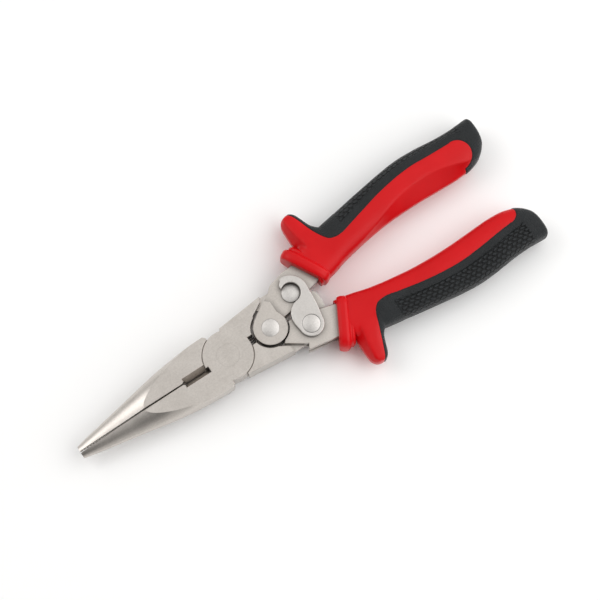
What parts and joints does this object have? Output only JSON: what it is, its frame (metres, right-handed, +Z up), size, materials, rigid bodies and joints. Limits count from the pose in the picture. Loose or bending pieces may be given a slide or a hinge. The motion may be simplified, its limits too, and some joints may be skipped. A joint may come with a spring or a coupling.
{
  "type": "needle nose pliers",
  "caption": "Long-nose pliers with a lap joint, compound-action handles with a hooked lock latch, side cutter and two-colour grips with thumb fins.",
  "frame": {"origin": "on the main pivot's axis, at the flat underside of the lap joint", "axes": "+X from the jaws to the grips, +Y to the upper handle, +Z up, along every rivet"},
  "size_m": [0.2245, 0.078, 0.0172],
  "materials": {
    "jaw_steel": "satin nickel plate",
    "handle_steel": "satin nickel plate",
    "latch_steel": "satin nickel plate, tumbled edges",
    "rivet_steel": "satin, peened",
    "spring_steel": "dark oiled wire",
    "grip_red": "satin moulded thermoplastic",
    "grip_black": "matte moulded rubber"
  },
  "bodies": {
    "upper_jaw": {"upper_jaw": "jaw_steel", "main_pivot_rivet": "rivet_steel", "opening_spring": "spring_steel"},
    "lower_jaw": {"lower_jaw": "jaw_steel"},
    "upper_handle": {"upper_handle_core": "handle_steel", "hub_rivet": "rivet_steel", "upper_link_rivet": "rivet_steel", "upper_grip_body": "grip_red", "upper_grip_cover": "grip_black"},
    "lower_handle": {"lower_handle_core": "handle_steel", "lower_link_rivet": "rivet_steel", "lower_grip_body": "grip_red", "lower_grip_cover": "grip_black"},
    "lock_latch": {"lock_latch": "latch_steel"}
  },
  "joints": [
    {"name": "jaw_open", "type": "hinge", "parent": "upper_jaw", "child": "lower_jaw", "pos_m": [0, 0, 0.0055], "axis": [0, 0, 1], "range_deg": [-0.7, 12], "deforming": ["opening_spring"]},
    {"name": "upper_handle_turn", "type": "hinge", "parent": "lower_jaw", "child": "upper_handle", "pos_m": [0.0379, 0.0083, 0.0055], "axis": [0, 0, 1], "range_deg": [-0.6, 9.5]},
    {"name": "lower_handle_turn", "type": "hinge", "parent": "upper_jaw", "child": "lower_handle", "pos_m": [0.0379, -0.0083, 0.0055], "axis": [0, 0, 1], "range_deg": [-9.5, 0.6]},
    {"name": "latch_turn", "type": "hinge", "parent": "lower_handle", "child": "lock_latch", "pos_m": [0.0379, -0.0083, 0.0108], "axis": [0, 0, -1], "range_deg": [0, 16]}
  ],
  "couplings": [
    {"joint": "upper_handle_turn", "follows": "jaw_open", "ratio": 0.785},
    {"joint": "lower_handle_turn", "follows": "jaw_open", "ratio": -0.785}
  ]
}
